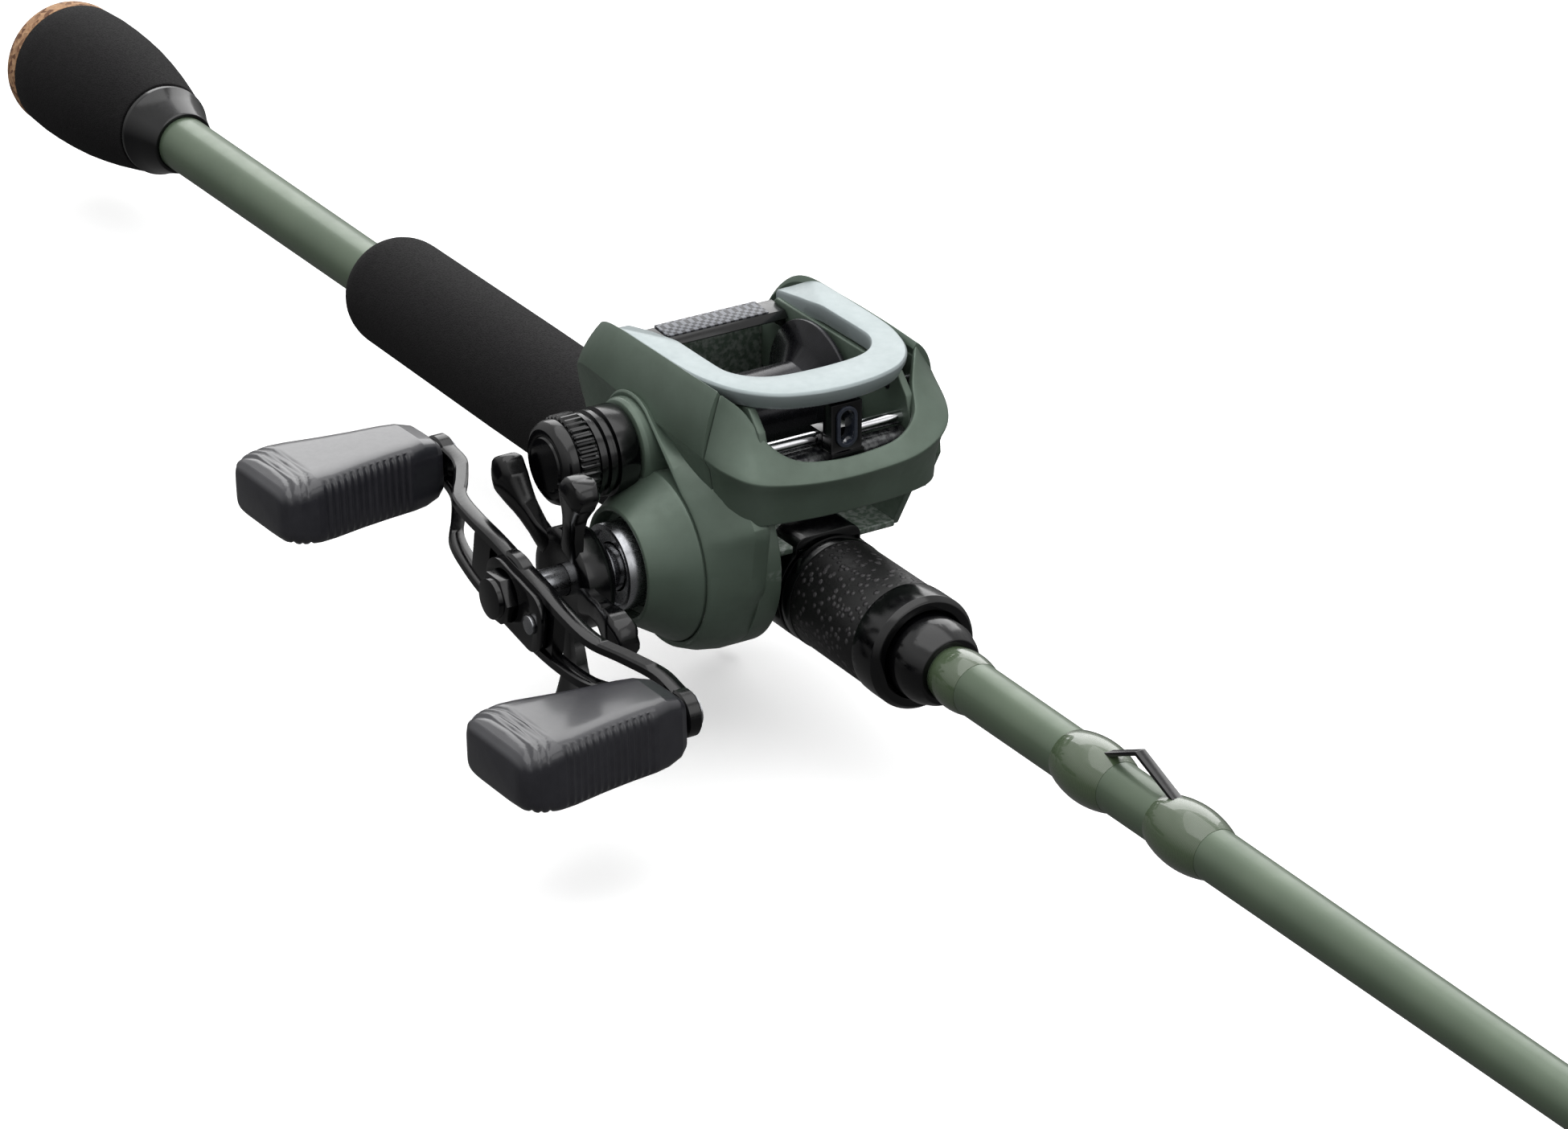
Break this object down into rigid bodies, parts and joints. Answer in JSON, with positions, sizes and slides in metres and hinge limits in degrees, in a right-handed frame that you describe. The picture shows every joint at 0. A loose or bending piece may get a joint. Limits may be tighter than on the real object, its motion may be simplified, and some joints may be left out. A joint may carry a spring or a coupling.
{
  "type": "baitcasting fishing rod and reel",
  "caption": "One-piece casting rod with split foam grips, line guides and a low-profile baitcasting reel with double-knob crank handle.",
  "frame": {"origin": "centre of the rod's flat butt end, on the axis of the blank", "axes": "+X along the rod towards the tip, +Z towards the reel and guides, +Y away from the crank handle"},
  "size_m": [2.1373, 0.118, 0.0736],
  "materials": {
    "blank_paint": "satin clear-coated sage green graphite blank",
    "body_paint": "satin sage green paint",
    "hood_paint": "pale grey-green satin paint",
    "foam": "matte closed-cell EVA foam",
    "cork": "speckled burl cork composite",
    "gloss_black": "gloss black moulding",
    "black_alloy": "gloss black anodised alloy",
    "nut_texture": "dotted grip texture",
    "knob_rubber": "soft-touch matte dark grey",
    "thread_epoxy": "olive thread under clear epoxy",
    "guide_metal": "black coated stainless wire",
    "guide_ceramic": "polished dark ceramic",
    "spool_alloy": "dark anodised alloy with a bright arbor",
    "steel": "brushed stainless",
    "chrome": "polished",
    "brass": "machined",
    "acetal": "natural acetal",
    "carbon_washer": "woven carbon drag washer"
  },
  "bodies": {
    "rod": {"blank": "blank_paint", "butt_cork": "cork", "butt_grip": "foam", "butt_check": "gloss_black", "rear_grip": "foam", "reel_seat": "gloss_black", "nut_collar": "gloss_black", "hook_keeper": "guide_metal", "thread_wraps": "thread_epoxy", "guide_1": "guide_metal", "guide_2": "guide_metal", "guide_3": "guide_metal", "guide_4": "guide_metal", "running_guides": "guide_metal", "guide_rings": "guide_ceramic", "tip_top": "guide_metal", "reel_foot": "black_alloy", "reel_frame": "body_paint", "top_hood": "hood_paint", "handle_side_plate": "body_paint", "palm_side_plate": "body_paint", "plate_screws": "steel", "guide_bars": "chrome", "ball_bearings": "steel", "yoke_springs": "steel", "one_way_bearing": "steel", "bearing_cover": "steel"},
    "handle": {"handle_arm": "black_alloy", "handle_nut": "black_alloy", "nut_retainer": "black_alloy", "retainer_screw": "chrome", "knob_spindles": "steel", "knob_bushings": "acetal", "drive_shaft": "steel", "drive_gear": "brass", "levelwind_gear": "acetal", "drag_washers": "carbon_washer", "clutch_sleeve": "steel", "drag_springs": "steel"},
    "star": {"star_drag": "black_alloy"},
    "knob_a": {"knob_a": "knob_rubber"},
    "knob_b": {"knob_b": "knob_rubber"},
    "spool": {"spool": "spool_alloy", "spool_shaft": "steel"},
    "yoke": {"pinion_yoke": "acetal"},
    "pinion": {"pinion_gear": "brass"},
    "thumb_bar": {"thumb_bar": "gloss_black"},
    "clutch_cam": {"clutch_cam": "steel"},
    "worm": {"worm_shaft": "steel", "worm_gear": "acetal"},
    "idler": {"idler_gear": "acetal"},
    "line_guide": {"line_guide": "gloss_black", "line_guide_eye": "guide_ceramic"},
    "pawl": {"pawl": "steel"},
    "tension_cap": {"tension_cap": "black_alloy"},
    "brake_dial": {"brake_dial": "gloss_black"},
    "brake_magnets": {"brake_magnets": "steel"},
    "seat_hood": {"seat_hood": "gloss_black"},
    "seat_nut": {"seat_nut": "gloss_black", "nut_sleeve": "nut_texture"}
  },
  "joints": [
    {"name": "hood_slide", "type": "slide", "parent": "rod", "child": "seat_hood", "axis": [1, 0, 0], "range_m": [0, 0.006]},
    {"name": "nut_turn", "type": "hinge", "parent": "seat_hood", "child": "seat_nut", "pos_m": [0.366, 0, 0], "axis": [1, 0, 0], "range_deg": [0, 1440]},
    {"name": "handle_crank", "type": "hinge", "parent": "rod", "child": "handle", "pos_m": [0.3318, 0, 0.0071], "axis": [0, 1, 0], "continuous": true},
    {"name": "star_turn", "type": "hinge", "parent": "handle", "child": "star", "pos_m": [0.3318, -0.045, 0.0071], "axis": [0, 1, 0], "range_deg": [-60, 300]},
    {"name": "knob_a_spin", "type": "hinge", "parent": "handle", "child": "knob_a", "pos_m": [0.28601, -0.07, 0.01517], "axis": [0, 1, 0], "continuous": true},
    {"name": "knob_b_spin", "type": "hinge", "parent": "handle", "child": "knob_b", "pos_m": [0.37759, -0.07, -0.00097], "axis": [0, 1, 0], "continuous": true},
    {"name": "spool_spin", "type": "hinge", "parent": "rod", "child": "spool", "pos_m": [0.32154, 0, 0.02639], "axis": [0, 1, 0], "continuous": true},
    {"name": "thumb_slide", "type": "slide", "parent": "rod", "child": "thumb_bar", "axis": [-0.6, 0, -0.8], "range_m": [0, 0.003]},
    {"name": "cam_turn", "type": "hinge", "parent": "rod", "child": "clutch_cam", "pos_m": [0.32154, 0, 0.02639], "axis": [0, -1, 0], "range_deg": [0, 20]},
    {"name": "yoke_slide", "type": "slide", "parent": "rod", "child": "yoke", "axis": [0, -1, 0], "range_m": [0, 0.0014], "deforming": ["yoke_springs"]},
    {"name": "pinion_spin", "type": "hinge", "parent": "yoke", "child": "pinion", "pos_m": [0.32154, 0, 0.02639], "axis": [0, 1, 0], "continuous": true},
    {"name": "idler_spin", "type": "hinge", "parent": "rod", "child": "idler", "pos_m": [0.34025, 0, 0.02218], "axis": [0, 1, 0], "continuous": true},
    {"name": "worm_spin", "type": "hinge", "parent": "rod", "child": "worm", "pos_m": [0.3506, 0, 0.028], "axis": [0, 1, 0], "continuous": true},
    {"name": "line_guide_slide", "type": "slide", "parent": "rod", "child": "line_guide", "axis": [0, 1, 0], "range_m": [-0.009, 0.009]},
    {"name": "pawl_swivel", "type": "hinge", "parent": "line_guide", "child": "pawl", "pos_m": [0.3506, 0, 0.028], "axis": [1, 0, 0], "range_deg": [-25, 25]},
    {"name": "tension_turn", "type": "hinge", "parent": "rod", "child": "tension_cap", "pos_m": [0.32154, -0.04, 0.02639], "axis": [0, 1, 0], "range_deg": [-180, 540]},
    {"name": "brake_turn", "type": "hinge", "parent": "rod", "child": "brake_dial", "pos_m": [0.32154, 0.026, 0.02639], "axis": [0, 1, 0], "range_deg": [0, 270]},
    {"name": "magnet_slide", "type": "slide", "parent": "rod", "child": "brake_magnets", "axis": [0, -1, 0], "range_m": [0, 0.002]}
  ],
  "couplings": [
    {"joint": "hood_slide", "follows": "nut_turn", "m_per_rad": 0.00023873},
    {"joint": "spool_spin", "follows": "handle_crank", "ratio": -6.3077},
    {"joint": "pinion_spin", "follows": "handle_crank", "ratio": -6.3077},
    {"joint": "idler_spin", "follows": "handle_crank", "ratio": -1.1333},
    {"joint": "worm_spin", "follows": "handle_crank", "ratio": 2.4286},
    {"joint": "cam_turn", "follows": "thumb_slide", "rad_per_m": 116.36},
    {"joint": "yoke_slide", "follows": "thumb_slide", "ratio": 0.46667},
    {"joint": "brake_turn", "follows": "magnet_slide", "rad_per_m": 2356.2}
  ]
}
